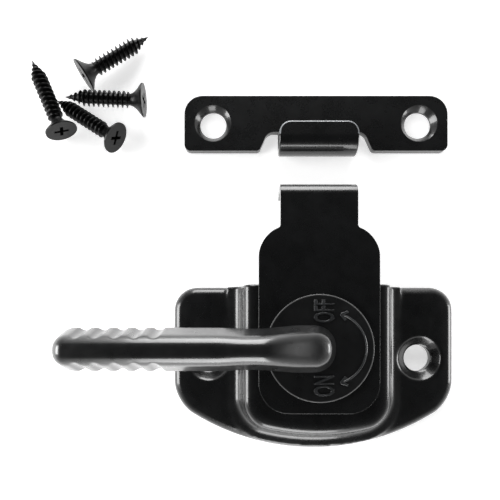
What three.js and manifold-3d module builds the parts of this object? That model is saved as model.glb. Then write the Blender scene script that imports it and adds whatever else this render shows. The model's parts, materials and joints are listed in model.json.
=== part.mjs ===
// Cam draw latch for table leaves, shown released: a pressed base bracket with a raised channel, a hook
// strap drawn by an eccentric cam on a turning lever, a strike plate with a rolled lip, and four screws.
// Millimetres, Z up from the mounting plane. X and Y are measured from the cam's pivot, and at the end
// the whole kit is centred on its own outline.
import * as THREE from 'three';
import { mergeVertices } from 'three/addons/utils/BufferGeometryUtils.js';
import Module from 'manifold-3d';

const wasm = await Module();
wasm.setup();

const sheet = 1.4; // pressed steel thickness of bracket, strap and strike
const gap = 0.3; // clearance between neighbouring pieces
const throwRadius = 2.24; // pivot to cam centre, half of the strap's travel
const below = 2; // how far a cutting solid runs past the face that it opens

const bracket = {
  width: 54.6, topY: 13.9, bottomY: -17.6, bottomArc: 45, arcHalfWidth: 23, topCorner: 4.5,
  wingHeight: 3, rimRound: 1.8, sideEndY: -3.5,
};
const channel = {
  width: 27.2, endY: -13.7, height: 8, corner: 5, round: 1.6, filletWidth: 2, filletHeight: 2.4,
  pivotHole: 3.1,
};
const screwHole = { spacing: 41, radius: 2.6, sinkRadius: 4.2, straight: 1, cupRadius: 5.2 };

const strapFloor = channel.height + gap;
const strapTop = strapFloor + sheet;
const strap = {
  halfWidth: 10.85, bottomY: -9.5, bottomCorner: 5.5, shoulderY: 18.65, shoulderRound: 5.5,
  shoulderTurn: 69, tongueHalf: 6.95, tongueY: 25, hookY: 32.1, hookTipZ: 2.2, bendRadius: 2.2,
  hole: 8.6,
};

const cam = { radius: strap.hole - gap, flange: 9.6, flangeThickness: 0.6 };
cam.flangeFloor = strapTop + gap;
cam.flangeTop = cam.flangeFloor + cam.flangeThickness;
const lever = {
  bossEndX: 2.6, bossHalf: 4.25, bossStartX: -8.4, neckHalf: 3.3, neckStartX: -11.5, neckEndX: -14.5,
  gripX: -17, gripHalf: 3.7, endX: -45.3, underZ: 13.5, topZ: 20, flankDrop: 3, flankWidth: 1.25,
};
const notches = { count: 5, firstX: -27.3, pitch: 3.12, halfLength: 1.1, depth: 0.4 };
const stud = { radius: 2.7, pocketTop: cam.flangeFloor, headRadius: 4.2, headFloor: 3.3, headTop: 4.4 };
const backWasher = { hole: 3, radius: 6, floor: 4.7, thickness: 0.8 };
const waveWasher = { hole: 3.1, radius: 5.4, middle: 6.05, thickness: 0.3, wave: 0.12, waves: 3 };

const strike = {
  x: 0.6, y: 46.2, length: 51.8, lowY: -5.4, highY: 5.4, topCorner: 3.6, lowCorner: 1.2,
  holeSpacing: 40.6, holeRadius: 2.6, sinkRadius: 3.6, sinkDepth: 1,
  mouthHalf: 11.15, mouthInnerHalf: 9.4, mouthTopY: -1.7, mouthRound: 1.4,
};
const lip = { width: 15, bendRadius: 3, bendY: -4, edgeY: -1.5, corner: 3.2 };

const screw = {
  length: 15, headRadius: 3, headRim: 0.3, headDepth: 2.2, threadRadius: 1.5, tipLength: 3.5,
  recessLength: 3.2, recessWidth: 0.7, recessDepth: 1.5,
};
const floorTilt = Math.atan2(screw.headRadius - screw.threadRadius, screw.length - screw.tipLength);
const looseScrews = [ // head centre, heading from head to tip, dip of the tip, and what it lies on
  { x: -44.6, y: 54.7, heading: 35.8, dip: THREE.MathUtils.radToDeg(floorTilt) }, // the floor
  { x: -48.8, y: 43.9, heading: 112.8, dip: 0.6 }, // over the point of the fourth
  { x: -32.9, y: 49.9, heading: 178.8, dip: -2.3 }, // over the shank of the fourth
  { x: -38.3, y: 42.6, heading: 146.1, dip: THREE.MathUtils.radToDeg(floorTilt) }, // the floor
];

const blackPaint = { color: 0x111214, roughness: 0.32, metalness: 0.1 };
const blackPhosphate = { color: 0x1a1a1b, roughness: 0.6, metalness: 0.5 };
const zincSteel = { color: 0xa8abae, roughness: 0.35, metalness: 0.9 };

// closed solid from a geometry, with its shared corners merged and its collapsed faces dropped
function solid(geometry) {
  geometry.deleteAttribute('normal');
  geometry.deleteAttribute('uv');
  const merged = mergeVertices(geometry, 1e-4);
  const corners = merged.index.array;
  const faces = [];
  for (let i = 0; i < corners.length; i += 3) {
    const [a, b, c] = [corners[i], corners[i + 1], corners[i + 2]];
    if (a !== b && b !== c && c !== a) faces.push(a, b, c);
  }
  const vertProperties = new Float32Array(merged.attributes.position.array);
  return new wasm.Manifold(new wasm.Mesh({ numProp: 3, vertProperties, triVerts: new Uint32Array(faces) }));
}

function piece(name, shape, finish) {
  const { vertProperties, triVerts } = shape.getMesh();
  const geometry = new THREE.BufferGeometry();
  geometry.setAttribute('position', new THREE.BufferAttribute(vertProperties, 3));
  geometry.setIndex(new THREE.BufferAttribute(triVerts, 1));
  geometry.computeVertexNormals();
  const mesh = new THREE.Mesh(geometry, new THREE.MeshStandardMaterial(finish));
  mesh.name = name;
  return mesh;
}

// outline extruded straight up between two heights
function slab(outline, low, high) {
  const geometry = new THREE.ExtrudeGeometry(outline, {
    depth: high - low, bevelEnabled: false, curveSegments: 8,
  });
  return solid(geometry.translate(0, 0, low));
}

// outline standing on z = 0 with a rounded or sloping top edge, drawn in by inset on every side
function pan(outline, height, edge, inset = 0) {
  const geometry = new THREE.ExtrudeGeometry(outline, {
    depth: height, bevelThickness: edge.drop, bevelSize: edge.width, bevelSegments: edge.steps,
    bevelOffset: -edge.width - inset, curveSegments: 8,
  });
  return solid(geometry.translate(0, 0, -edge.drop)).trimByPlane([0, 0, 1], 0);
}

// turned solid from [radius, height] points that start and end on the axis
function revolved(profile, segments) {
  const points = profile.map(([radius, height]) => new THREE.Vector2(radius, height));
  return new THREE.LatheGeometry(points, segments).rotateX(Math.PI / 2);
}

function turned(profile, segments = 28) {
  return solid(revolved(profile, segments));
}

function disc(radius, low, high, segments = 40) {
  return turned([[0, low], [radius, low], [radius, high], [0, high]], segments);
}

// side profile drawn as (Y, Z), extruded along X and centred on X = 0
function acrossX(profile, width) {
  const geometry = new THREE.ExtrudeGeometry(profile, {
    depth: width, bevelEnabled: false, curveSegments: 8,
  });
  const turn = new THREE.Matrix4().makeBasis(
    new THREE.Vector3(0, 1, 0), new THREE.Vector3(0, 0, 1), new THREE.Vector3(1, 0, 0),
  );
  return solid(geometry.translate(0, 0, -width / 2).applyMatrix4(turn));
}

// side profile drawn as (X, Z), extruded along Y and centred on Y = 0
function acrossY(profile, width) {
  const geometry = new THREE.ExtrudeGeometry(profile, {
    depth: width, bevelEnabled: false, curveSegments: 12,
  });
  const turn = new THREE.Matrix4().makeBasis(
    new THREE.Vector3(1, 0, 0), new THREE.Vector3(0, 0, 1), new THREE.Vector3(0, -1, 0),
  );
  return solid(geometry.translate(0, 0, -width / 2).applyMatrix4(turn));
}

// straight top and sides, one wide arc along the bottom, blended into the sides
function bracketOutline() {
  const half = bracket.width / 2;
  const shoulder = half - bracket.topCorner;
  const cornerY = bracket.topY - bracket.topCorner;
  const turn = Math.asin(bracket.arcHalfWidth / bracket.bottomArc);
  const arcY = bracket.bottomY + bracket.bottomArc;
  const arcEndY = arcY - bracket.bottomArc * Math.cos(turn);
  const blendY = arcEndY + (half - bracket.arcHalfWidth) * Math.tan(turn);
  const outline = new THREE.Shape();
  outline.moveTo(half, cornerY);
  outline.absarc(shoulder, cornerY, bracket.topCorner, 0, Math.PI / 2);
  outline.absarc(-shoulder, cornerY, bracket.topCorner, Math.PI / 2, Math.PI);
  outline.lineTo(-half, bracket.sideEndY);
  outline.quadraticCurveTo(-half, blendY, -bracket.arcHalfWidth, arcEndY);
  outline.absarc(0, arcY, bracket.bottomArc, -Math.PI / 2 - turn, -Math.PI / 2 + turn);
  outline.quadraticCurveTo(half, blendY, half, bracket.sideEndY);
  return outline;
}

// runs out past the bracket's top edge, where the channel's end is open
function channelOutline() {
  const half = channel.width / 2;
  const topY = bracket.topY + channel.width;
  const cornerX = half - channel.corner;
  const cornerY = channel.endY + channel.corner;
  const outline = new THREE.Shape();
  outline.moveTo(half, topY);
  outline.lineTo(-half, topY);
  outline.absarc(-cornerX, cornerY, channel.corner, Math.PI, 1.5 * Math.PI);
  outline.absarc(cornerX, cornerY, channel.corner, 1.5 * Math.PI, 2 * Math.PI);
  return outline;
}

function countersink(radius, sinkRadius, straight, top) {
  const rise = top - straight;
  return turned([
    [0, -below], [radius, -below], [radius, straight], [sinkRadius, top],
    [sinkRadius + rise, top + rise], [0, top + rise],
  ], 24);
}

function baseBracket() {
  const rim = { drop: bracket.rimRound, width: bracket.rimRound, steps: 3 };
  const brow = { drop: channel.round, width: channel.round, steps: 3 };
  const wings = pan(bracketOutline(), bracket.wingHeight, rim);
  const wingHollow = pan(bracketOutline(), bracket.wingHeight - sheet, rim, sheet);
  const raised = pan(channelOutline(), channel.height, brow);
  const raisedHollow = pan(channelOutline(), channel.height - sheet, brow, sheet);
  const slope = new THREE.ExtrudeGeometry(channelOutline(), {
    depth: bracket.wingHeight, bevelThickness: channel.filletHeight, bevelSize: channel.filletWidth,
    bevelSegments: 1, curveSegments: 8,
  });
  const foot = solid(slope).trimByPlane([0, 0, 1], bracket.wingHeight - sheet / 2);
  const walls = raised.add(foot).trimByPlane([0, -1, 0], -bracket.topY);
  let body = wings.add(walls).subtract(wingHollow).subtract(raisedHollow);
  for (const side of [-1, 1]) {
    const place = [side * screwHole.spacing / 2, 0, 0];
    const cup = disc(screwHole.cupRadius, 0, bracket.wingHeight - sheet / 2, 24).translate(place);
    const sink = countersink(
      screwHole.radius, screwHole.sinkRadius, screwHole.straight, bracket.wingHeight,
    ).translate(place);
    body = body.add(cup).subtract(sink);
  }
  body = body.subtract(disc(channel.pivotHole, 0, channel.height + below, 24));
  return piece('base_bracket', body, blackPaint);
}

function strapOutline() {
  const { halfWidth, bottomCorner, shoulderRound, tongueHalf } = strap;
  const cornerX = halfWidth - bottomCorner;
  const cornerY = strap.bottomY + bottomCorner;
  const shoulderX = halfWidth - shoulderRound;
  const turn = THREE.MathUtils.degToRad(strap.shoulderTurn);
  const neckY = strap.shoulderY + shoulderRound * Math.sin(turn);
  const neckX = shoulderX + shoulderRound * Math.cos(turn);
  const outline = new THREE.Shape();
  outline.moveTo(halfWidth, cornerY);
  outline.absarc(shoulderX, strap.shoulderY, shoulderRound, 0, turn);
  outline.quadraticCurveTo(tongueHalf, neckY, tongueHalf, strap.tongueY);
  outline.lineTo(tongueHalf, strap.hookY + below);
  outline.lineTo(-tongueHalf, strap.hookY + below);
  outline.lineTo(-tongueHalf, strap.tongueY);
  outline.quadraticCurveTo(-tongueHalf, neckY, -neckX, neckY);
  outline.absarc(-shoulderX, strap.shoulderY, shoulderRound, Math.PI - turn, Math.PI);
  outline.absarc(-cornerX, cornerY, bottomCorner, Math.PI, 1.5 * Math.PI);
  outline.absarc(cornerX, cornerY, bottomCorner, 1.5 * Math.PI, 2 * Math.PI);
  return outline;
}

// flat strap whose far end is bent square down into the hook
function strapSide() {
  const bendY = strap.hookY - strap.bendRadius;
  const bendZ = strapTop - strap.bendRadius;
  const startY = strap.bottomY - below;
  const side = new THREE.Shape();
  side.moveTo(startY, strapFloor);
  side.lineTo(bendY, strapFloor);
  side.absarc(bendY, bendZ, strap.bendRadius - sheet, Math.PI / 2, 0, true);
  side.lineTo(strap.hookY - sheet, strap.hookTipZ);
  side.lineTo(strap.hookY, strap.hookTipZ);
  side.absarc(bendY, bendZ, strap.bendRadius, 0, Math.PI / 2);
  side.lineTo(startY, strapTop);
  return side;
}

function hookStrap() {
  const flat = slab(strapOutline(), 0, strapTop + below);
  const hole = disc(strap.hole, 0, strapTop + below).translate([0, throwRadius, 0]);
  const body = flat.intersect(acrossX(strapSide(), 3 * strap.halfWidth)).subtract(hole);
  return piece('hook_strap', body, blackPaint);
}

// one flank of the grip, with its row of shallow finger notches; side is 1 or -1
function notchedFlank(outline, side, centres) {
  const edge = side * lever.gripHalf;
  const step = -Math.sign(centres[1] - centres[0]) * notches.halfLength;
  for (const x of centres) {
    outline.lineTo(x + step, edge);
    outline.quadraticCurveTo(x, edge - side * 2 * notches.depth, x - step, edge);
  }
}

function leverPlan() {
  const { bossHalf, neckHalf, gripHalf } = lever;
  const bossX = lever.bossEndX - bossHalf;
  const tipX = lever.endX + gripHalf;
  const centres = Array.from({ length: notches.count }, (_, i) => notches.firstX - i * notches.pitch);
  const plan = new THREE.Shape();
  plan.moveTo(lever.gripX, -gripHalf);
  plan.lineTo(lever.neckEndX, -neckHalf);
  plan.lineTo(lever.neckStartX, -neckHalf);
  plan.lineTo(lever.bossStartX, -bossHalf);
  plan.absarc(bossX, 0, bossHalf, -Math.PI / 2, Math.PI / 2);
  plan.lineTo(lever.bossStartX, bossHalf);
  plan.lineTo(lever.neckStartX, neckHalf);
  plan.lineTo(lever.neckEndX, neckHalf);
  plan.lineTo(lever.gripX, gripHalf);
  notchedFlank(plan, 1, centres);
  plan.absarc(tipX, 0, gripHalf, Math.PI / 2, 1.5 * Math.PI);
  notchedFlank(plan, -1, centres.reverse());
  return plan;
}

// rises steeply from the cam, climbs on at an easy slope, then runs level to its rounded end
function leverSide() {
  const { endX, underZ, topZ, bossEndX } = lever;
  const seatZ = cam.flangeFloor;
  const side = new THREE.Shape();
  side.moveTo(bossEndX, seatZ);
  side.bezierCurveTo(bossEndX, seatZ + 4.2, bossEndX - 0.4, topZ - 4.4, bossEndX - 2.8, topZ - 3.7);
  side.bezierCurveTo(bossEndX - 6.6, topZ - 2.6, bossEndX - 9.6, topZ, bossEndX - 15.6, topZ);
  side.lineTo(endX + 3, topZ);
  side.bezierCurveTo(endX + 1, topZ, endX, topZ - 1.5, endX, topZ - 3.2);
  side.bezierCurveTo(endX, underZ + 1, endX + 1.2, underZ, endX + 3, underZ);
  side.lineTo(-13.5, underZ);
  side.bezierCurveTo(-10.5, underZ, -9, underZ - 1, -8.6, seatZ);
  return side;
}

function leverCam() {
  const plan = new THREE.ExtrudeGeometry(leverPlan(), {
    depth: lever.topZ, bevelThickness: lever.flankDrop, bevelSize: lever.flankWidth, bevelSegments: 2,
    bevelOffset: -lever.flankWidth, curveSegments: 4,
  }).translate(0, 0, -lever.flankDrop);
  const arm = solid(plan).intersect(acrossY(leverSide(), 4 * lever.bossHalf));
  const flange = disc(cam.flange, cam.flangeFloor, cam.flangeTop, 48);
  const core = disc(cam.radius, strapFloor, cam.flangeTop, 48);
  const pocket = disc(stud.radius + gap, 0, stud.pocketTop, 24).translate([0, -throwRadius, 0]);
  const body = flange.add(core).add(arm).subtract(pocket).translate([0, throwRadius, 0]);
  return piece('lever_cam', body, blackPaint);
}

// steel stud cast into the cam, its lower end headed over the back washer
function pivotStud() {
  const { radius, headRadius, headFloor, headTop } = stud;
  const crown = headTop - headFloor;
  const body = turned([
    [0, headFloor], [headRadius - crown, headFloor], [headRadius, headFloor + 0.6 * crown],
    [headRadius, headTop], [radius, headTop], [radius, stud.pocketTop - gap], [0, stud.pocketTop - gap],
  ], 24);
  return piece('pivot_stud', body, zincSteel);
}

function ring(inner, outer, low, high) {
  return disc(outer, low, high, 36).subtract(disc(inner, low - below, high + below, 36));
}

function flatWasher() {
  const { hole, radius, floor, thickness } = backWasher;
  return piece('back_washer', ring(hole, radius, floor, floor + thickness), zincSteel);
}

// flat ring bent into shallow waves round its circle
function frictionWasher() {
  const { hole, radius, middle, thickness, wave, waves } = waveWasher;
  const low = middle - thickness / 2;
  const high = middle + thickness / 2;
  const wavy = revolved([[hole, low], [radius, low], [radius, high], [hole, high], [hole, low]], 48);
  const corners = wavy.attributes.position;
  for (let i = 0; i < corners.count; i++) {
    const angle = Math.atan2(corners.getY(i), corners.getX(i));
    corners.setZ(i, corners.getZ(i) + wave * Math.cos(waves * angle));
  }
  return piece('wave_washer', solid(wavy), zincSteel);
}

// plate with round ends and a wide mouth in its lower edge, where the lip is folded out
function strikeOutline() {
  const half = strike.length / 2;
  const { lowY, highY, topCorner, lowCorner, mouthHalf, mouthInnerHalf, mouthTopY, mouthRound } = strike;
  const outline = new THREE.Shape();
  outline.moveTo(half, highY - topCorner);
  outline.absarc(half - topCorner, highY - topCorner, topCorner, 0, Math.PI / 2);
  outline.absarc(-half + topCorner, highY - topCorner, topCorner, Math.PI / 2, Math.PI);
  outline.absarc(-half + lowCorner, lowY + lowCorner, lowCorner, Math.PI, 1.5 * Math.PI);
  outline.lineTo(-mouthHalf, lowY);
  outline.lineTo(-mouthInnerHalf - 0.3, mouthTopY - mouthRound);
  outline.quadraticCurveTo(-mouthInnerHalf, mouthTopY, -mouthInnerHalf + mouthRound, mouthTopY);
  outline.lineTo(mouthInnerHalf - mouthRound, mouthTopY);
  outline.quadraticCurveTo(mouthInnerHalf, mouthTopY, mouthInnerHalf + 0.3, mouthTopY - mouthRound);
  outline.lineTo(mouthHalf, lowY);
  outline.absarc(half - lowCorner, lowY + lowCorner, lowCorner, 1.5 * Math.PI, 2 * Math.PI);
  return outline;
}

// the lip leaves the plate downwards, turns over forwards and comes back up level with it
function lipSide() {
  const { bendRadius, bendY, edgeY } = lip;
  const rootY = strike.mouthTopY + sheet;
  const side = new THREE.Shape();
  side.moveTo(rootY, 0);
  side.lineTo(rootY, sheet);
  side.absarc(bendY, bendRadius, bendRadius - sheet, 1.5 * Math.PI, Math.PI / 2, true);
  side.lineTo(edgeY, 2 * bendRadius - sheet);
  side.lineTo(edgeY, 2 * bendRadius);
  side.absarc(bendY, bendRadius, bendRadius, Math.PI / 2, 1.5 * Math.PI);
  return side;
}

// plan of the lip, with round corners at its free edge
function lipOutline() {
  const half = lip.width / 2;
  const lowY = lip.bendY - lip.bendRadius - below;
  const outline = new THREE.Shape();
  outline.moveTo(half, lowY);
  outline.absarc(half - lip.corner, lip.edgeY - lip.corner, lip.corner, 0, Math.PI / 2);
  outline.absarc(-half + lip.corner, lip.edgeY - lip.corner, lip.corner, Math.PI / 2, Math.PI);
  outline.lineTo(-half, lowY);
  return outline;
}

function strikePlate() {
  const plate = slab(strikeOutline(), 0, sheet);
  const folded = acrossX(lipSide(), lip.width);
  const freeEdge = slab(lipOutline(), lip.bendRadius, 3 * lip.bendRadius);
  const root = folded.trimByPlane([0, 0, -1], -lip.bendRadius);
  const fold = folded.intersect(freeEdge);
  let body = plate.add(root).add(fold);
  for (const side of [-1, 1]) {
    const hole = countersink(strike.holeRadius, strike.sinkRadius, sheet - strike.sinkDepth, sheet);
    body = body.subtract(hole.translate([side * strike.holeSpacing / 2, 0, 0]));
  }
  return piece('strike_plate', body.translate([strike.x, strike.y, 0]), blackPaint);
}

// wood screw with its head at the origin and its point down the -Z axis
function screwSolid() {
  const { length, headRadius, headRim, headDepth, threadRadius, tipLength } = screw;
  const shank = turned([
    [0, -length], [threadRadius, tipLength - length], [threadRadius, -headDepth],
    [headRadius, -headRim], [headRadius, 0], [0, 0],
  ], 20);
  const long = screw.recessLength;
  const bars = [[long, screw.recessWidth], [screw.recessWidth, long]];
  const cuts = bars.map(([x, y]) => solid(new THREE.BoxGeometry(x, y, 2 * screw.recessDepth)));
  return shank.subtract(cuts[0].add(cuts[1]));
}

function looseScrew(lie, index) {
  const mesh = piece(`mounting_screw_${index + 1}`, screwSolid(), blackPhosphate);
  const heading = THREE.MathUtils.degToRad(lie.heading);
  const dip = THREE.MathUtils.degToRad(lie.dip);
  const level = Math.cos(dip);
  const point = new THREE.Vector3(
    Math.cos(heading) * level, Math.sin(heading) * level, -Math.sin(dip),
  );
  mesh.quaternion.setFromUnitVectors(new THREE.Vector3(0, 0, -1), point);
  const rimReach = screw.headRadius * level + screw.headRim * Math.max(0, Math.sin(dip));
  mesh.position.set(lie.x, lie.y, rimReach);
  return mesh;
}

const kit = new THREE.Group();
kit.add(baseBracket(), hookStrap(), leverCam(), pivotStud(), flatWasher(), frictionWasher());
kit.add(strikePlate(), ...looseScrews.map(looseScrew));

const extent = new THREE.Box3().setFromObject(kit, true);
kit.position.set(-(extent.min.x + extent.max.x) / 2, -(extent.min.y + extent.max.y) / 2, 0);

export default kit;
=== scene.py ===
import json
import math
import bmesh
import bpy
from mathutils import Matrix, Vector


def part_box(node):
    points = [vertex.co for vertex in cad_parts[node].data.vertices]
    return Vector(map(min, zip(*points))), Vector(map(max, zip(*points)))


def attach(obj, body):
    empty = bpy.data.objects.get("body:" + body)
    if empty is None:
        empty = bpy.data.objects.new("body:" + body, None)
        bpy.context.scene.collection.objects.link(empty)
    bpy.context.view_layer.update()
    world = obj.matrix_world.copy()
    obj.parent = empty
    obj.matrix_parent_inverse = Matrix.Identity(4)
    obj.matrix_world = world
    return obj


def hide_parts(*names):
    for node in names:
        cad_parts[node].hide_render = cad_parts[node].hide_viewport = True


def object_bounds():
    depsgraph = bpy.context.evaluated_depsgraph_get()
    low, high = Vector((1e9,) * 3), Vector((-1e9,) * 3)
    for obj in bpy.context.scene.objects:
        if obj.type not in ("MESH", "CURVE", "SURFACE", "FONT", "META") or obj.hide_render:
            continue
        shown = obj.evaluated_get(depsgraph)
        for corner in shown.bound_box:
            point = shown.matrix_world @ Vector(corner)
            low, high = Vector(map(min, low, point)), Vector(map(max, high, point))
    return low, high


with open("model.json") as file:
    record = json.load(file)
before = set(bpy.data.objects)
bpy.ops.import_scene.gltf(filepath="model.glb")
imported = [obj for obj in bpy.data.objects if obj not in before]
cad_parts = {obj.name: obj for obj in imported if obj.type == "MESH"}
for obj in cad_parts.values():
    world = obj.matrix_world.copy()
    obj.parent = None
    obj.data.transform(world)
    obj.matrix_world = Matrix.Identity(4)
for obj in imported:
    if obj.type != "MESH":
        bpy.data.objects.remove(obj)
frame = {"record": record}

bpy.ops.object.select_all(action='DESELECT')
cadBox = [list(corner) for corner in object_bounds()]
scene = bpy.context.scene
mm = 0.001
joints = {joint["name"]: joint for joint in frame["record"]["behaviour"]["joints"]}
pivot = Vector(joints["lever_turn"]["pos_m"][:2]).to_3d()  # on the mounting plane
camCentre = (Vector(joints["strap_swivel"]["pos_m"]) - pivot) / mm
sheet = 1.4  # mm, pressed steel

# Pieces are modelled in millimetres about the pivot, then settled into the frame in metres.


def nodeBox(node):  # a node's low and high corners, mm about the pivot
    return [(Vector(corner) - pivot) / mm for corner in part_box(node)]


def choose(*pieces):
    bpy.ops.object.select_all(action='DESELECT')
    for piece in pieces:
        piece.select_set(True)
    bpy.context.view_layer.objects.active = pieces[-1]


def fresh(name):  # the primitive just added, with its place in its mesh
    piece = bpy.context.object
    piece.name = name
    bpy.ops.object.transform_apply(location=True, rotation=True, scale=True)
    return piece


def block(name, low, high):
    centre = [(a + b) / 2 for a, b in zip(low, high)]
    size = [b - a for a, b in zip(low, high)]
    bpy.ops.mesh.primitive_cube_add(size=1, location=centre, scale=size)
    return fresh(name)


def drum(name, place, radius, low, high, sides=96):
    x, y = place
    bpy.ops.mesh.primitive_cylinder_add(
        vertices=sides, radius=radius, depth=high - low, location=(x, y, (low + high) / 2))
    return fresh(name)


def funnel(name, place, lowRadius, highRadius, low, high, sides=64):
    x, y = place
    bpy.ops.mesh.primitive_cone_add(
        vertices=sides, radius1=lowRadius, radius2=highRadius, depth=high - low,
        location=(x, y, (low + high) / 2))
    return fresh(name)


def outline(name, corners, z):  # one flat face through the corners
    bpy.ops.mesh.primitive_circle_add(vertices=len(corners), radius=1, fill_type='NGON')
    piece = fresh(name)
    for vertex, (x, y) in zip(piece.data.vertices, corners):
        vertex.co = (x, y, z)
    return piece


def arcCorners(x, y, radius, start, end, steps):
    turns = [start + (end - start) * step / steps for step in range(steps + 1)]
    return [(x + radius * math.cos(turn), y + radius * math.sin(turn)) for turn in turns]


def bowedOutline(name, side, head, foot, radius, reach, z):  # straight sides, bottom edge bowed down
    half = side - reach
    turn = math.asin(half / radius)
    arc = arcCorners(0, foot + radius, radius, -math.pi / 2 - turn, -math.pi / 2 + turn, 48)
    waist = arc[0][1] + reach * math.tan(turn)
    piece = outline(name, [(-side, head), (-side, waist), *arc, (side, waist), (side, head)], z)
    for x in (-side, side):
        roundCorner(piece, x, waist, reach, 14)
    return piece


def edit(piece, kind='FACE'):
    choose(piece)
    bpy.ops.object.mode_set(mode='EDIT')
    bpy.ops.mesh.select_mode(type=kind)


def done():
    bpy.ops.object.mode_set(mode='OBJECT')


def pick(piece, kind, test):  # into edit mode, with only what passes the test selected
    edit(piece, kind)
    bpy.ops.mesh.select_all(action='DESELECT')
    mesh = bmesh.from_edit_mesh(piece.data)
    parts = {'VERT': mesh.verts, 'EDGE': mesh.edges, 'FACE': mesh.faces}[kind]
    for part in parts:
        if test(part):
            part.select_set(True)
    mesh.select_flush_mode()
    bmesh.update_edit_mesh(piece.data)


def middle(edge):
    return (edge.verts[0].co + edge.verts[1].co) / 2


def roundCorner(piece, x, y, reach, segments=10):  # reach is how far along each side the round starts
    pick(piece, 'VERT', lambda v: abs(v.co.x - x) < 0.01 and abs(v.co.y - y) < 0.01)
    bpy.ops.mesh.bevel(offset=reach, segments=segments, affect='VERTICES', clamp_overlap=False)
    done()


def roundEdges(piece, test, radius, segments=6):
    pick(piece, 'EDGE', test)
    bpy.ops.mesh.bevel(offset=radius, segments=segments, affect='EDGES', clamp_overlap=False)
    done()


def raiseFace(piece, height, steps=()):  # thickens an outline upwards, then insets its top in steps
    edit(piece)
    bpy.ops.mesh.select_all(action='SELECT')
    bpy.ops.mesh.extrude_region_move(TRANSFORM_OT_translate={"value": (0, 0, height)})
    bpy.ops.mesh.select_all(action='SELECT')
    bpy.ops.mesh.normals_make_consistent(inside=False)
    done()
    top = max(v.co.z for v in piece.data.vertices)
    pick(piece, 'FACE', lambda f: f.calc_center_median().z > top - 0.001)
    for inset, rise in steps:
        bpy.ops.mesh.inset(thickness=inset, depth=rise)
    done()


def shrinkOutline(piece, margin):
    edit(piece)
    bpy.ops.mesh.select_all(action='SELECT')
    bpy.ops.mesh.inset(thickness=margin, depth=0)
    bpy.ops.mesh.select_all(action='INVERT')
    bpy.ops.mesh.delete(type='FACE')
    done()


def change(piece, kind, **settings):
    modifier = piece.modifiers.new(kind.lower(), kind)
    for key, value in settings.items():
        setattr(modifier, key, value)
    choose(piece)
    bpy.ops.object.modifier_apply(modifier=modifier.name)


def combine(piece, tool, operation):
    change(piece, 'BOOLEAN', operation=operation, object=tool, solver='MANIFOLD')
    bpy.data.objects.remove(tool, do_unlink=True)


def cutAway(piece, place, normal):  # cuts away the side that the normal points to
    edit(piece)
    bpy.ops.mesh.select_all(action='SELECT')
    bpy.ops.mesh.bisect(plane_co=place, plane_no=normal, use_fill=True, clear_outer=True)
    done()


def clean(piece, gap=0.001):
    edit(piece, 'VERT')
    bpy.ops.mesh.select_all(action='SELECT')
    bpy.ops.mesh.remove_doubles(threshold=gap)
    bpy.ops.mesh.normals_make_consistent(inside=False)
    done()


def soften(piece, voxel, rounds):  # even skin with soft edges, as paint and casting leave them
    change(piece, 'REMESH', mode='VOXEL', voxel_size=voxel)
    change(piece, 'SMOOTH', factor=0.5, iterations=rounds)


def easeEdges(piece, width, clamp=True):
    change(piece, 'BEVEL', width=width, segments=3, limit_method='ANGLE', angle_limit=math.radians(35),
           use_clamp_overlap=clamp)


def settle(piece, material, body, slot, *nodes, angle=35):
    choose(piece)
    piece.scale = (mm, mm, mm)
    piece.location = pivot
    bpy.ops.object.transform_apply(location=True, rotation=True, scale=True)
    bpy.ops.object.shade_smooth_by_angle(angle=math.radians(angle))
    change(piece, 'WEIGHTED_NORMAL', keep_sharp=True)
    if not any(piece.data.materials):
        piece.data.materials.clear()
        piece.data.materials.append(material)
    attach(piece, body)
    if nodes:
        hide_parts(*nodes)


# Camera, straight down from close by, over a point left of the pivot

cameraSeat = {"besidePivot": -12.4, "abovePivot": 5.5, "height": 90, "lens": 32.4, "shiftUp": 0.16}


def addCamera():
    bpy.ops.object.camera_add()
    camera = bpy.context.object
    camera.name = "camera"
    place = Vector((cameraSeat["besidePivot"], cameraSeat["abovePivot"], cameraSeat["height"]))
    camera.location = pivot + place * mm
    camera.data.lens = cameraSeat["lens"]
    camera.data.shift_y = cameraSeat["shiftUp"]
    camera.data.clip_start = 0.005
    scene.camera = camera


print("camera")
addCamera()

# Materials


def newMaterial(name):
    material = bpy.data.materials.new(name)
    material.use_nodes = True
    nodes = material.node_tree.nodes
    links = material.node_tree.links
    shader = nodes["Principled BSDF"]
    place = nodes.new("ShaderNodeTexCoord")
    return material, nodes, links, shader, place


def addNoise(nodes, links, place, scale, detail, roughness=0.5):
    noise = nodes.new("ShaderNodeTexNoise")
    noise.inputs["Scale"].default_value = scale
    noise.inputs["Detail"].default_value = detail
    noise.inputs["Roughness"].default_value = roughness
    links.new(place.outputs["Object"], noise.inputs["Vector"])
    return noise


def addRamp(nodes, links, source, stops):
    ramp = nodes.new("ShaderNodeValToRGB")
    while len(ramp.color_ramp.elements) < len(stops):
        ramp.color_ramp.elements.new(0.5)
    for element, (position, colour) in zip(ramp.color_ramp.elements, stops):
        element.position = position
        element.color = (*colour, 1)
    links.new(source, ramp.inputs["Fac"])
    return ramp


def grey(value, cool=0.0):
    return (value * (1 - cool), value, value * (1 + cool))


paintLook = {
    "tone": [0.004, 0.0065], "roughness": [0.25, 0.31], "orangePeel": 1700, "peelStrength": 0.04,
    "coat": 0.7, "coatRoughness": 0.1, "ior": 1.55, "rimHighlightBand": None,
}


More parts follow.
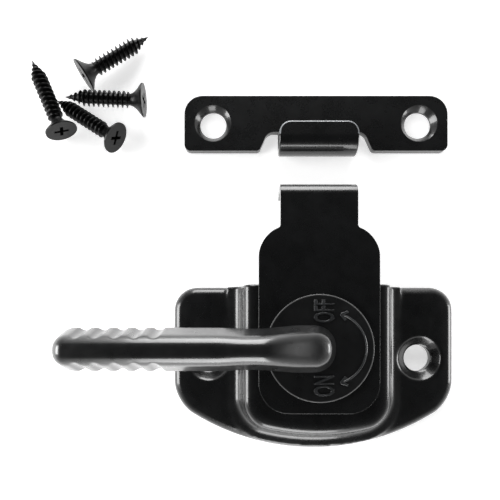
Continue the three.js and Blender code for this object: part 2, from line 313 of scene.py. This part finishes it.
def paintRimHighlight(nodes, links, place, colour, band):  # painted highlight: greyer from the first radius outwards, standing in for the light the disc's rim catches
    centre = pivot + camCentre * mm
    offset = nodes.new("ShaderNodeVectorMath")
    offset.operation = 'SUBTRACT'
    links.new(place.outputs["Object"], offset.inputs[0])
    offset.inputs[1].default_value = (centre.x, centre.y, 0)
    flat = nodes.new("ShaderNodeVectorMath")
    flat.operation = 'MULTIPLY'
    links.new(offset.outputs["Vector"], flat.inputs[0])
    flat.inputs[1].default_value = (1, 1, 0)
    reach = nodes.new("ShaderNodeVectorMath")
    reach.operation = 'LENGTH'
    links.new(flat.outputs["Vector"], reach.inputs[0])
    mask = nodes.new("ShaderNodeMapRange")
    mask.inputs["From Min"].default_value = band[0] * mm
    mask.inputs["From Max"].default_value = band[1] * mm
    links.new(reach.outputs["Value"], mask.inputs["Value"])
    mix = nodes.new("ShaderNodeMix")
    mix.data_type = 'RGBA'
    links.new(mask.outputs["Result"], mix.inputs[0])
    links.new(colour, mix.inputs[6])
    # colour of the painted rim highlight
    mix.inputs[7].default_value = (*grey(0.16), 1)
    return mix.outputs[2]


def makePaint(name, look):
    material, nodes, links, shader, place = newMaterial(name)
    cloud = addNoise(nodes, links, place, 260, 4)
    tone = addRamp(nodes, links, cloud.outputs["Fac"], [
        (0.35, grey(look["tone"][0], 0.05)), (0.7, grey(look["tone"][1], 0.05))])
    colour = tone.outputs["Color"]
    # a painted highlight ring, where the look gives its band
    if look["rimHighlightBand"]:
        colour = paintRimHighlight(nodes, links, place, colour, look["rimHighlightBand"])
    links.new(colour, shader.inputs["Base Color"])
    low, high = look["roughness"]
    handled = addNoise(nodes, links, place, 420, 6, 0.6)
    shine = addRamp(nodes, links, handled.outputs["Fac"], [(0.3, grey(low)), (0.72, grey(high))])
    links.new(shine.outputs["Color"], shader.inputs["Roughness"])
    peel = addNoise(nodes, links, place, look["orangePeel"], 3)
    bump = nodes.new("ShaderNodeBump")
    bump.inputs["Strength"].default_value = look["peelStrength"]
    bump.inputs["Distance"].default_value = 0.0002
    links.new(peel.outputs["Fac"], bump.inputs["Height"])
    links.new(bump.outputs["Normal"], shader.inputs["Normal"])
    shader.inputs["IOR"].default_value = look["ior"]
    shader.inputs["Coat Weight"].default_value = look["coat"]
    shader.inputs["Coat Roughness"].default_value = look["coatRoughness"]
    return material


castingLook = dict(
    paintLook, roughness=[0.26, 0.34], orangePeel=1300, peelStrength=0.06, coat=0.8, ior=1.75)
discRimHighlightLook = dict(castingLook, rimHighlightBand=[9.36, 9.5], coat=0.3)  # mm from the disc's centre, a thin painted highlight on the rim
# light grey for the sloping faces of the strike lip's rim
lipRimGreyLook = dict(paintLook, tone=[0.22, 0.4], roughness=[0.3, 0.4])
# legends painted lighter than the casting: a painted highlight for the light their raised edges catch
legendHighlightLook = dict(castingLook, tone=[0.018, 0.04], coat=0.9)
phosphateLook = {"tone": [0.002, 0.005], "roughness": [0.26, 0.38], "grain": 5200, "grainStrength": 0.2}


def makePhosphate(name, look):
    material, nodes, links, shader, place = newMaterial(name)
    cloud = addNoise(nodes, links, place, 1400, 6, 0.65)
    tone = addRamp(nodes, links, cloud.outputs["Fac"], [
        (0.3, grey(look["tone"][0])), (0.75, grey(look["tone"][1], 0.03))])
    links.new(tone.outputs["Color"], shader.inputs["Base Color"])
    low, high = look["roughness"]
    shine = addRamp(nodes, links, cloud.outputs["Fac"], [(0.3, grey(high)), (0.7, grey(low))])
    links.new(shine.outputs["Color"], shader.inputs["Roughness"])
    shader.inputs["Specular IOR Level"].default_value = 0.22
    grain = addNoise(nodes, links, place, look["grain"], 2)
    bump = nodes.new("ShaderNodeBump")
    bump.inputs["Strength"].default_value = look["grainStrength"]
    bump.inputs["Distance"].default_value = 0.00005
    links.new(grain.outputs["Fac"], bump.inputs["Height"])
    links.new(bump.outputs["Normal"], shader.inputs["Normal"])
    return material


zincLook = {"tone": [0.5, 0.68], "roughness": [0.22, 0.38], "brushing": 6000, "brushStrength": 0.15}


def makeZinc(name, look):
    material, nodes, links, shader, place = newMaterial(name)
    cloud = addNoise(nodes, links, place, 500, 5)
    tone = addRamp(nodes, links, cloud.outputs["Fac"], [
        (0.3, grey(look["tone"][0], 0.03)), (0.7, grey(look["tone"][1], 0.02))])
    links.new(tone.outputs["Color"], shader.inputs["Base Color"])
    low, high = look["roughness"]
    shine = addRamp(nodes, links, cloud.outputs["Fac"], [(0.3, grey(low)), (0.7, grey(high))])
    links.new(shine.outputs["Color"], shader.inputs["Roughness"])
    shader.inputs["Metallic"].default_value = 1.0
    stretch = nodes.new("ShaderNodeMapping")
    stretch.inputs["Scale"].default_value = (1, 0.08, 1)
    links.new(place.outputs["Object"], stretch.inputs["Vector"])
    lines = nodes.new("ShaderNodeTexNoise")
    lines.inputs["Scale"].default_value = look["brushing"]
    links.new(stretch.outputs["Vector"], lines.inputs["Vector"])
    bump = nodes.new("ShaderNodeBump")
    bump.inputs["Strength"].default_value = look["brushStrength"]
    bump.inputs["Distance"].default_value = 0.00005
    links.new(lines.outputs["Fac"], bump.inputs["Height"])
    links.new(bump.outputs["Normal"], shader.inputs["Normal"])
    return material


print("materials")
blackPaint = makePaint("blackPaint", paintLook)
blackCasting = makePaint("blackCasting", castingLook)
# the cam disc, with a painted highlight on its rim
discWithRimHighlight = makePaint("discWithRimHighlight", discRimHighlightLook)
# legends and arrow, whose lighter tone is a painted highlight
legendWithPaintedHighlight = makePaint("legendWithPaintedHighlight", legendHighlightLook)
lipRimGrey = makePaint("lipRimGrey", lipRimGreyLook)
blackPhosphate = makePhosphate("blackPhosphate", phosphateLook)
brightZinc = makeZinc("brightZinc", zincLook)

# Base bracket: two wings pressed with a raised channel, then screw dimples

bracketShape = {
    "topCorner": 4.5, "sideReach": 4.3, "arc": 45,
    "rimSteps": [(0.15, 0.7), (0.4, 0.6), (0.7, 0.35), (1.4, 0.15), (4, 0.1)],
    "channelHalf": 13.6, "channelReach": 6.6, "spread": 3.2, "brim": 0.5,
    "footLow": 3, "footSteps": [(1.8, 0.35), (0.7, 0.7), (0.4, 1.1), (0.3, 1.5)],
    "browSteps": [(0.15, 0.5), (0.4, 0.47), (0.7, 0.28), (0.9, 0.1)],
    "holeReach": 20.5, "hole": 2.6, "sink": 4.3, "straight": 1.1, "cup": 5.15, "pivotHole": 3.1,
    "hollowLow": -2, "cupTop": 2.7, "holeCut": (-1, 4), "pivotCut": (3, 9), "voxel": 0.25, "softening": 9,
}


def wingForm(name, bottom, top, shrink):
    shape = bracketShape
    low, high = nodeBox("base_bracket")
    piece = bowedOutline(name, high.x, high.y, low.y, shape["arc"], shape["sideReach"], bottom)
    for x in (low.x, high.x):
        roundCorner(piece, x, high.y, shape["topCorner"], 12)
    if shrink:
        shrinkOutline(piece, shrink)
    rise = sum(step[1] for step in shape["rimSteps"])
    raiseFace(piece, top - rise - bottom, shape["rimSteps"])
    return piece


def channelForm(name, bottom, drop, shrink):
    shape = bracketShape
    low, high = nodeBox("base_bracket")
    side = shape["channelHalf"] + shape["spread"] - shrink
    margin = shape["brim"] + shrink
    piece = bowedOutline(name, side, high.y + side, low.y + margin, shape["arc"] - margin,
                         shape["channelReach"], bottom)
    raiseFace(piece, shape["footLow"] - drop - bottom, shape["footSteps"] + shape["browSteps"])
    return piece


def buildBracket():
    shape = bracketShape
    low, high = nodeBox("base_bracket")
    floor = shape["hollowLow"]
    body = wingForm("baseBracket", low.z, shape["footLow"], 0)
    raised = channelForm("raised", 1, 0, 0)
    cutAway(raised, (0, high.y, 0), (0, 1, 0))
    combine(body, raised, 'UNION')
    combine(body, wingForm("wingHollow", floor, shape["footLow"] - sheet, sheet), 'DIFFERENCE')
    combine(body, channelForm("channelHollow", floor, sheet, sheet), 'DIFFERENCE')
    change(body, 'REMESH', mode='VOXEL', voxel_size=shape["voxel"])
    for side in (-1, 1):
        place = (side * shape["holeReach"], 0)
        combine(body, drum("cup", place, shape["cup"], 0, shape["cupTop"]), 'UNION')
        slope = shape["sink"] - shape["hole"]
        depth = shape["footLow"] - shape["straight"]
        combine(body, funnel("sink", place, shape["hole"], shape["sink"] + slope,
                             shape["straight"], shape["footLow"] + depth), 'DIFFERENCE')
    soften(body, shape["voxel"], shape["softening"])
    for side in (-1, 1):
        place = (side * shape["holeReach"], 0)
        combine(body, drum("hole", place, shape["hole"], *shape["holeCut"]), 'DIFFERENCE')
    combine(body, drum("pivotHole", (0, 0), shape["pivotHole"], *shape["pivotCut"]), 'DIFFERENCE')
    settle(body, blackPaint, "base", "black_paint", "base_bracket", angle=50)


print("base bracket")
buildBracket()

# Hook strap: flat, with shoulders, a round hole and an end bent square down

strapShape = {
    "bottomCorner": 5.5, "shoulderY": 22.43, "shoulderReach": 3.7, "neckY": 23.93, "neckReach": 0.42,
    "tongueHalf": 6.95, "bend": 2.2, "hole": 8.6, "holeCut": (7, 11), "easing": 0.2,
}


def buildStrap():
    shape = strapShape
    low, high = nodeBox("hook_strap")
    side, tongue, bendY = high.x, shape["tongueHalf"], high.y - shape["bend"]
    body = outline("hookStrap", [
        (side, low.y), (side, shape["shoulderY"]), (tongue, shape["neckY"]), (tongue, bendY),
        (-tongue, bendY), (-tongue, shape["neckY"]), (-side, shape["shoulderY"]), (-side, low.y),
    ], high.z - sheet)
    for way in (-1, 1):
        roundCorner(body, way * side, low.y, shape["bottomCorner"], 14)
        roundCorner(body, way * side, shape["shoulderY"], shape["shoulderReach"], 14)
        roundCorner(body, way * tongue, shape["neckY"], shape["neckReach"], 5)
    raiseFace(body, sheet)
    pick(body, 'FACE', lambda f: f.normal.y > 0.9 and f.calc_center_median().y > bendY - 0.01)
    bpy.ops.mesh.spin(steps=12, angle=math.pi / 2, center=(0, bendY, high.z - shape["bend"]), axis=(1, 0, 0))
    bpy.ops.mesh.extrude_region_move(
        TRANSFORM_OT_translate={"value": (0, 0, low.z - high.z + shape["bend"])})
    done()
    clean(body)
    hole = drum("strapHole", camCentre[:2], shape["hole"], *shape["holeCut"], sides=128)
    combine(body, hole, 'DIFFERENCE')
    easeEdges(body, shape["easing"])
    settle(body, blackPaint, "strap", "black_paint", "hook_strap")


print("hook strap")
buildStrap()

# Lever and cam: a turned disc, an arm that swells into its root, notches along the grip

discShape = {"flange": 9.6, "thickness": 0.6, "floor": 10.0, "core": 8.3, "coreFloor": 8.3, "easing": 0.16}
armShape = {
    "grip": 3.7, "gripEnd": -17, "waist": 3.5, "waistEnd": -14, "root": -10.5, "boss": 4.1,
    "bossStart": -4.5, "bossEnd": 2.6, "bossCorner": 3.95, "rootReach": 1.4, "waistReach": 1.2,
    "floor": 9.95, "flankLow": 14.3,
    "crestSteps": [(1.2, 4.1), (0.3, 0.62), (0.45, 0.46), (0.6, 0.34), (0.5, 0.14)],
    "underside": 13.5, "undersideEnd": -9.2, "undersideRound": 2.6,
    "slopeStart": -10.5, "bossTop": 15.9, "bossEdge": 0.4, "endRound": 3.2, "endDrop": 2.0,
    "voxel": 0.2, "softening": 6,
}
notchShape = {
    "count": 5, "first": -27.7, "pitch": 3.12, "radius": 1.35, "depth": 0.5, "inset": 0.45,
    "low": 12, "high": 22, "lean": 14,
}


def crestHeight(x, top, tip, bossEnd):  # height of the arm's ridge along its length
    shape = armShape
    height = top
    if x > shape["slopeStart"]:
        way = min(1, (x - shape["slopeStart"]) / (shape["bossEdge"] - shape["slopeStart"]))
        ease = way * way * (3 - 2 * way)
        height = top + (shape["bossTop"] - top) * (0.35 * way + 0.65 * ease)
    if x > shape["bossEdge"]:
        way = min(1, (x - shape["bossEdge"]) / (bossEnd - shape["bossEdge"]))
        height = shape["bossTop"] - 2.2 * (1 - math.sqrt(1 - way * way))
    if x < tip + shape["endRound"]:
        way = min(1, (tip + shape["endRound"] - x) / shape["endRound"])
        height = top - shape["endDrop"] * (1 - math.sqrt(1 - way * way))
    return height


def buildArm():
    shape = armShape
    low, high = nodeBox("lever_cam")
    tip, top, bossEnd = low.x, high.z, shape["bossEnd"]
    grip, boss = shape["grip"], shape["boss"]
    half = [
        (tip, grip), (shape["gripEnd"], grip), (shape["waistEnd"], shape["waist"]),
        (shape["root"], shape["waist"]), (shape["bossStart"], boss), (bossEnd, boss)]
    ring = half + [(x, -y) for x, y in reversed(half)]
    body = outline("leverArm", ring, shape["floor"])
    for side in (-1, 1):
        roundCorner(body, tip, side * grip, grip - 0.1, 14)
        roundCorner(body, bossEnd, side * boss, shape["bossCorner"], 14)
        roundCorner(body, shape["root"], side * shape["waist"], shape["rootReach"], 6)
        roundCorner(body, shape["bossStart"], side * boss, shape["rootReach"], 6)
        roundCorner(body, shape["waistEnd"], side * shape["waist"], shape["waistReach"], 4)
        roundCorner(body, shape["gripEnd"], side * grip, shape["waistReach"], 4)
    raiseFace(body, shape["flankLow"] - shape["floor"], shape["crestSteps"])
    change(body, 'REMESH', mode='VOXEL', voxel_size=shape["voxel"])
    floor = shape["floor"]
    for vertex in body.data.vertices:
        share = (crestHeight(vertex.co.x, top, tip, bossEnd) - floor) / (top - floor)
        vertex.co.z = floor + (vertex.co.z - floor) * share
    under = block("under", (tip - 5, -8, 5), (shape["undersideEnd"], 8, shape["underside"]))
    roundEdges(under, lambda e: middle(e).x > shape["undersideEnd"] - 0.01 and middle(e).z > 13.4
               and abs(middle(e).y) < 0.01, shape["undersideRound"], 10)
    combine(body, under, 'DIFFERENCE')
    notch = notchShape
    for side in (-1, 1):
        for index in range(notch["count"]):
            x = notch["first"] - index * notch["pitch"]
            y = side * (grip - notch["inset"] + notch["radius"] - notch["depth"])
            cutter = drum("notch", (x, y), notch["radius"], notch["low"], notch["high"], 40)
            foot = Matrix.Translation((x, y, 16))
            turn = Matrix.Rotation(math.radians(side * notch["lean"]), 4, 'X')
            cutter.data.transform(foot @ turn @ foot.inverted())
            combine(body, cutter, 'DIFFERENCE')
    soften(body, shape["voxel"], shape["softening"])
    choose(body)
    body.location = (0, camCentre.y, 0)
    bpy.ops.object.transform_apply(location=True, rotation=False, scale=False)
    settle(body, blackCasting, "lever", "black_casting", angle=60)


def buildDisc():
    shape = discShape
    top = shape["floor"] + shape["thickness"]
    body = drum("camDisc", camCentre[:2], shape["flange"], shape["floor"], top, 160)
    pick(body, 'FACE', lambda f: f.normal.z < -0.9)
    bpy.ops.mesh.inset(thickness=shape["flange"] - shape["core"], depth=0)
    bpy.ops.mesh.extrude_region_move(
        TRANSFORM_OT_translate={"value": (0, 0, shape["coreFloor"] - shape["floor"])})
    done()
    combine(body, drum("pocket", (0, 0), 3.0, 8, 10, 64), 'DIFFERENCE')
    easeEdges(body, shape["easing"])
    settle(body, discWithRimHighlight, "lever", "black_casting", "lever_cam")


legendShape = {
    "height": 3.6, "relief": 0.2, "offWidth": 4.0, "onWidth": 3.6, "offY": 6.6, "onY": -6.6, "x": 0.65,
    "arcX": 1.87, "arcRadius": 6.3, "arcHalfTurn": 74, "stroke": 0.2, "barb": 1.35, "barbTurn": 34,
}


def addWord(word, width, y):  # reads upwards, raised from the disc
    shape = legendShape
    top = discShape["floor"] + discShape["thickness"]
    bpy.ops.object.text_add()
    piece = bpy.context.object
    piece.data.body = word
    piece.data.align_x = 'CENTER'
    piece.data.align_y = 'CENTER'
    piece.data.extrude = 0.1
    piece.data.bevel_depth = 0.012
    bpy.ops.object.convert(target='MESH')
    piece = bpy.context.object
    piece.name = "legend" + word.title()
    low = [min(v.co[i] for v in piece.data.vertices) for i in range(3)]
    high = [max(v.co[i] for v in piece.data.vertices) for i in range(3)]
    centre = Vector([(a + b) / 2 for a, b in zip(low, high)])
    wanted = (width, shape["height"], 2 * shape["relief"])
    scale = Matrix.Diagonal([size / (b - a) for size, a, b in zip(wanted, low, high)] + [1])
    place = Matrix.Translation((camCentre.x + shape["x"], camCentre.y + y, top))
    turn = Matrix.Rotation(math.pi / 2, 4, 'Z')
    piece.data.transform(place @ turn @ scale @ Matrix.Translation(-centre))
    clean(piece)
    settle(piece, legendWithPaintedHighlight, "lever", "black_casting")


def addStroke(start, end):
    top = discShape["floor"] + discShape["thickness"]
    length = (end - start).length
    half = legendShape["stroke"]
    piece = block("barb", (0, -half, top - 0.1), (length, half, top + legendShape["relief"]))
    roundEdges(piece, lambda e: middle(e).z > top, 0.06, 3)
    angle = math.atan2(end.y - start.y, end.x - start.x)
    piece.data.transform(Matrix.Translation((start.x, start.y, 0)) @ Matrix.Rotation(angle, 4, 'Z'))
    return piece


def addTurnArrow():  # open ring with a barbed head at each end
    shape = legendShape
    top = discShape["floor"] + discShape["thickness"]
    bpy.ops.mesh.primitive_torus_add(
        major_segments=160, minor_segments=12, major_radius=shape["arcRadius"], minor_radius=shape["stroke"],
        location=(camCentre.x + shape["arcX"], camCentre.y, top))
    arc = fresh("turnArrow")
    limit = math.radians(shape["arcHalfTurn"])
    middleOfArc = (camCentre.x + shape["arcX"], camCentre.y, top)
    for way in (-1, 1):
        normal = (-math.sin(limit), way * math.cos(limit), 0)
        edit(arc)
        bpy.ops.mesh.select_all(action='SELECT')
        bpy.ops.mesh.bisect(plane_co=middleOfArc, plane_no=normal, use_fill=True, clear_outer=True)
        done()
    strokes = []
    for way in (-1, 1):
        turn = way * limit
        head = Vector((math.cos(turn), math.sin(turn))) * shape["arcRadius"] + camCentre.xy
        head.x += shape["arcX"]
        back = Vector((math.sin(turn), -math.cos(turn))) * way
        for side in (-1, 1):
            barb = Matrix.Rotation(side * math.radians(shape["barbTurn"]), 2) @ back * shape["barb"]
            strokes.append(addStroke(head, head + barb))
    choose(*strokes, arc)
    bpy.ops.object.join()
    settle(arc, legendWithPaintedHighlight, "lever", "black_casting")


print("lever and cam")
buildDisc()
buildArm()
addWord("OFF", legendShape["offWidth"], legendShape["offY"])
addWord("ON", legendShape["onWidth"], legendShape["onY"])
addTurnArrow()

# Pivot stud and washers, under the channel

studShape = {
    "radius": 2.7, "shankLow": 4.3, "headTop": 4.4, "easing": 0.12,
    "crown": [(0.5, 0.35), (0.9, 0.3), (1.2, 0.2)],
}
washerShape = {"flatHole": 3.0, "waveHole": 3.1, "waveThickness": 0.3, "easing": 0.1, "waves": 3, "wave": 0.12}


def buildStud():
    low, high = nodeBox("pivot_stud")
    body = drum("pivotStud", (0, 0), studShape["radius"], studShape["shankLow"], high.z, 64)
    rise = sum(step[1] for step in studShape["crown"])
    head = drum("head", (0, 0), high.x, low.z + rise, studShape["headTop"], 64)
    pick(head, 'FACE', lambda f: f.normal.z < -0.9)
    for inset, depth in studShape["crown"]:
        bpy.ops.mesh.inset(thickness=inset, depth=depth)
    done()
    combine(body, head, 'UNION')
    easeEdges(body, studShape["easing"])
    settle(body, brightZinc, "lever", "zinc_steel", "pivot_stud")


def buildWasher(name, node, hole, wave):
    low, high = nodeBox(node)
    thickness = washerShape["waveThickness"] if wave else high.z - low.z
    floor = (low.z + high.z - thickness) / 2
    body = drum(name, (0, 0), high.x, floor, floor + thickness, 96)
    combine(body, drum("hole", (0, 0), hole, floor - 1, floor + 2, 96), 'DIFFERENCE')
    easeEdges(body, min(washerShape["easing"], thickness / 3))
    for vertex in body.data.vertices:
        vertex.co.z += wave * math.cos(washerShape["waves"] * math.atan2(vertex.co.y, vertex.co.x))
    settle(body, brightZinc, "lever", "zinc_steel", node)


print("pivot stud and washers")
buildStud()
buildWasher("backWasher", "back_washer", washerShape["flatHole"], 0)
buildWasher("waveWasher", "wave_washer", washerShape["waveHole"], washerShape["wave"])

# Strike plate: flat, with a mouth in its lower edge where the lip is rolled out

strikeShape = {
    "half": 5.4, "topCorner": 3.6, "lowCorner": 1.2, "mouth": 11.15, "mouthInner": 9.5, "mouthTop": -1.7,
    "mouthRound": 1.1, "mouthEdge": 0.6, "lipHalf": 7.5, "bendY": -4, "bend": 3, "lipEdge": -1.5,
    "lipCorner": 2.2,
    "holeReach": 20.3, "hole": 2.6, "sink": 3.6, "easing": 0.3,
}


def buildStrike():
    shape = strikeShape
    low, high = nodeBox("strike_plate")
    half = (high.x - low.x) / 2
    centre = Vector(((high.x + low.x) / 2, high.y - shape["half"], 0))
    tall, mouth, inner, roof = shape["half"], shape["mouth"], shape["mouthInner"], shape["mouthTop"]
    corners = [
        (half, tall, shape["topCorner"]), (-half, tall, shape["topCorner"]),
        (-half, -tall, shape["lowCorner"]), (-mouth, -tall, shape["mouthEdge"]),
        (-inner, roof, shape["mouthRound"]), (inner, roof, shape["mouthRound"]),
        (mouth, -tall, shape["mouthEdge"]), (half, -tall, shape["lowCorner"])]
    body = outline("strikePlate", [(x, y) for x, y, reach in corners], 0)
    for x, y, reach in corners:
        roundCorner(body, x, y, reach, 10)
    raiseFace(body, sheet)
    tongue = block("lip", (-shape["lipHalf"], shape["bendY"], 0), (shape["lipHalf"], roof + 0.5, sheet))
    pick(tongue, 'FACE', lambda f: f.normal.y < -0.9)
    bpy.ops.mesh.spin(steps=20, angle=math.pi, center=(0, shape["bendY"], shape["bend"]), axis=(1, 0, 0))
    bpy.ops.mesh.extrude_region_move(
        TRANSFORM_OT_translate={"value": (0, shape["lipEdge"] - shape["bendY"], 0)})
    done()
    clean(tongue)
    roundEdges(tongue, lambda e: abs(middle(e).x) > shape["lipHalf"] - 0.01
               and abs(middle(e).y - shape["lipEdge"]) < 0.01 and middle(e).z > shape["bend"]
               and abs(e.verts[0].co.z - e.verts[1].co.z) > 1, shape["lipCorner"], 10)
    easeEdges(tongue, shape["easing"], clamp=False)
    combine(body, tongue, 'UNION')
    for side in (-1, 1):
        place = (side * shape["holeReach"], 0)
        slope = shape["sink"] - shape["hole"]
        combine(body, funnel("sink", place, shape["hole"], shape["sink"] + slope, sheet - slope,
                             sheet + slope), 'DIFFERENCE')
        combine(body, drum("hole", place, shape["hole"], -1, 3, 64), 'DIFFERENCE')
    easeEdges(body, shape["easing"])
    body.data.materials.clear()
    body.data.materials.append(blackPaint)
    body.data.materials.append(lipRimGrey)
    for face in body.data.polygons:  # light grey on the sloping faces of the lip's rim
        onReturn = face.center.z > 2 * shape["bend"] - sheet - 0.05 and face.center.y > shape["bendY"]
        if onReturn and 0.15 < face.normal.z < 0.97:
            face.material_index = 1
    choose(body)
    body.location = centre
    bpy.ops.object.transform_apply(location=True, rotation=False, scale=False)
    settle(body, blackPaint, "strike", "black_paint", "strike_plate")


print("strike plate")
buildStrike()

# Wood screws: bugle head with a cross recess, coarse thread, sharp point

screwShape = {
    "length": 15, "head": 3, "rim": 0.28, "core": 0.95, "thread": 1.5, "tip": 3.5, "point": 0.04,
    "bugle": [(0.35, 2.62), (0.45, 2.05), (0.5, 1.55), (0.5, 1.2), (0.6, 1.0)], "pitch": 0.92,
    "threadStart": -2.5, "crest": 0.05, "root": 0.3, "steps": 24,
    "recess": 1.6, "recessWidth": 0.36, "recessDepth": 1.6, "recessTaper": 0.45,
}
screwLies = [  # node number, heading from head to tip and dip of the tip, in degrees
    (1, 35.8, 7.43), (2, 112.8, 0.6), (3, 178.8, -2.3), (4, 146.1, 7.43)]


def buildScrewBody():
    shape = screwShape
    body = drum("screwBlank", (0, 0), shape["head"], -shape["rim"], 0, 48)
    pick(body, 'FACE', lambda f: f.normal.z < -0.9)
    radius = shape["head"]
    shank = shape["length"] - shape["tip"]
    fallen = shape["rim"] + sum(step[0] for step in shape["bugle"])
    stations = [*shape["bugle"], (shank - fallen, shape["core"]), (shape["tip"], shape["point"])]
    for drop, nextRadius in stations:
        bpy.ops.mesh.extrude_region_move(TRANSFORM_OT_translate={"value": (0, 0, -drop)})
        bpy.ops.transform.resize(value=(nextRadius / radius, nextRadius / radius, 1))
        radius = nextRadius
    done()
    for turned in (0, 1):
        bar = block("recess", (-shape["recess"], -shape["recessWidth"], -shape["recessDepth"]),
                    (shape["recess"], shape["recessWidth"], 0.5))
        pick(bar, 'FACE', lambda f: f.normal.z < -0.9)
        bpy.ops.transform.resize(value=(shape["recessTaper"], shape["recessTaper"], 1))
        done()
        bar.data.transform(Matrix.Rotation(turned * math.pi / 2, 4, 'Z'))
        combine(body, bar, 'DIFFERENCE')
    return body


def buildThread():
    shape = screwShape
    turns = int((shape["length"] + shape["threadStart"] - 0.5) / shape["pitch"])
    bpy.ops.mesh.primitive_circle_add(vertices=4, radius=1, fill_type='NOTHING')
    ridge = fresh("thread")
    inner = shape["core"] - 0.12
    start = shape["threadStart"]
    section = [(inner, shape["root"]), (shape["thread"], shape["crest"]),
               (shape["thread"], -shape["crest"]), (inner, -shape["root"])]
    for vertex, (x, z) in zip(ridge.data.vertices, section):
        vertex.co = (x, 0, start + z)
    change(ridge, 'SCREW', axis='Z', angle=2 * math.pi, screw_offset=-shape["pitch"], iterations=turns,
           steps=shape["steps"], render_steps=shape["steps"], use_merge_vertices=False)
    edit(ridge, 'EDGE')
    bpy.ops.mesh.select_all(action='DESELECT')
    bpy.ops.mesh.select_non_manifold()
    bpy.ops.mesh.edge_face_add()
    done()
    mesh = bmesh.new()
    mesh.from_mesh(ridge.data)
    bmesh.ops.holes_fill(mesh, edges=[e for e in mesh.edges if e.is_boundary], sides=4)
    bmesh.ops.recalc_face_normals(mesh, faces=mesh.faces)
    mesh.to_mesh(ridge.data)
    mesh.free()
    cone = shape["tip"] - shape["length"]
    for vertex in ridge.data.vertices:
        share = min(1, max(0.06, (vertex.co.z + shape["length"]) / shape["tip"]))
        grown = min(1, 0.55 + (start - vertex.co.z) / shape["pitch"])
        if vertex.co.z < cone or grown < 1:
            vertex.co.xy = vertex.co.xy * share * grown
    return ridge


def layScrew(pattern, number, heading, dip):
    node = "mounting_screw_" + str(number)
    choose(pattern)
    bpy.ops.object.duplicate()
    piece = bpy.context.object
    piece.name = "woodScrew" + str(number)
    level, turn = math.radians(dip), math.radians(heading)
    point = Vector((math.cos(turn) * math.cos(level), math.sin(turn) * math.cos(level), -math.sin(level)))
    piece.data.transform(Vector((0, 0, -1)).rotation_difference(point).to_matrix().to_4x4())
    low = Vector([min(v.co[i] for v in piece.data.vertices) for i in range(3)])
    high = Vector([max(v.co[i] for v in piece.data.vertices) for i in range(3)])
    nodeLow, nodeHigh = nodeBox(node)
    piece.data.transform(Matrix.Translation((nodeLow + nodeHigh - low - high) / 2))
    settle(piece, blackPhosphate, "screw_" + str(number), "black_phosphate", node)


def buildScrews():
    pattern = buildScrewBody()
    thread = buildThread()
    combine(pattern, thread, 'UNION')
    clean(pattern, 0.0005)
    for number, heading, dip in screwLies:
        layScrew(pattern, number, heading, dip)
    bpy.data.objects.remove(pattern, do_unlink=True)


print("wood screws")
buildScrews()

# Pale floor, bright low surroundings and a dark sky straight above, as in a light tent with a top opening

studio = {
    "floor": 0.86, "floorGlow": 0.6, "floorSize": 1.2, "floorGap": 0.0002, "cloud": 30, "roughness": 0.7,
    "sky": [(0.0, 1.0), (0.3, 0.62), (0.5, 0.26), (0.68, 0.1), (0.82, 0.03), (1.0, 0.012)],
    "boxes": [  # heading in degrees, elevation, distance and size in metres, watts
        (180, 24, 0.55, 0.30, 2.4), (0, 14, 0.55, 0.20, 0.8),
        (90, 22, 0.55, 0.34, 2.4), (270, 20, 0.55, 0.30, 1.5)],
}


def addFloor():
    height = cadBox[0][2] - studio["floorGap"]
    bpy.ops.mesh.primitive_plane_add(size=studio["floorSize"], location=(0, 0, height))
    floor = bpy.context.object
    floor.name = "floor"
    material, nodes, links, shader, place = newMaterial("paleFloor")
    cloud = addNoise(nodes, links, place, studio["cloud"], 2)
    tone = addRamp(nodes, links, cloud.outputs["Fac"], [
        (0.3, grey(studio["floor"])), (0.7, grey(studio["floor"] + 0.02))])
    links.new(tone.outputs["Color"], shader.inputs["Base Color"])
    shader.inputs["Roughness"].default_value = studio["roughness"]
    shader.inputs["Specular IOR Level"].default_value = 0.2
    shader.inputs["Emission Color"].default_value = (1, 1, 1, 1)
    shader.inputs["Emission Strength"].default_value = studio["floorGlow"]
    floor.data.materials.append(material)


def addSky():
    world = bpy.data.worlds.new("studio")
    scene.world = world
    world.use_nodes = True
    nodes, links = world.node_tree.nodes, world.node_tree.links
    place = nodes.new("ShaderNodeTexCoord")
    split = nodes.new("ShaderNodeSeparateXYZ")
    links.new(place.outputs["Generated"], split.inputs["Vector"])
    ramp = addRamp(nodes, links, split.outputs["Z"], [(at, grey(value)) for at, value in studio["sky"]])
    links.new(ramp.outputs["Color"], nodes["Background"].inputs["Color"])
    nodes["Background"].inputs["Strength"].default_value = 1.0


def addBoxes():
    for heading, elevation, distance, size, watts in studio["boxes"]:
        turn, rise = math.radians(heading), math.radians(elevation)
        way = Vector((math.cos(turn) * math.cos(rise), math.sin(turn) * math.cos(rise), math.sin(rise)))
        bpy.ops.object.light_add(type='AREA', location=way * distance)
        lamp = bpy.context.object
        lamp.name = "softbox" + str(heading)
        lamp.data.size = size
        lamp.data.energy = watts
        lamp.rotation_mode = 'QUATERNION'
        lamp.rotation_quaternion = way.to_track_quat('Z', 'Y')


print("floor and light")
addFloor()
addSky()
addBoxes()
scene.view_settings.view_transform = 'Standard'
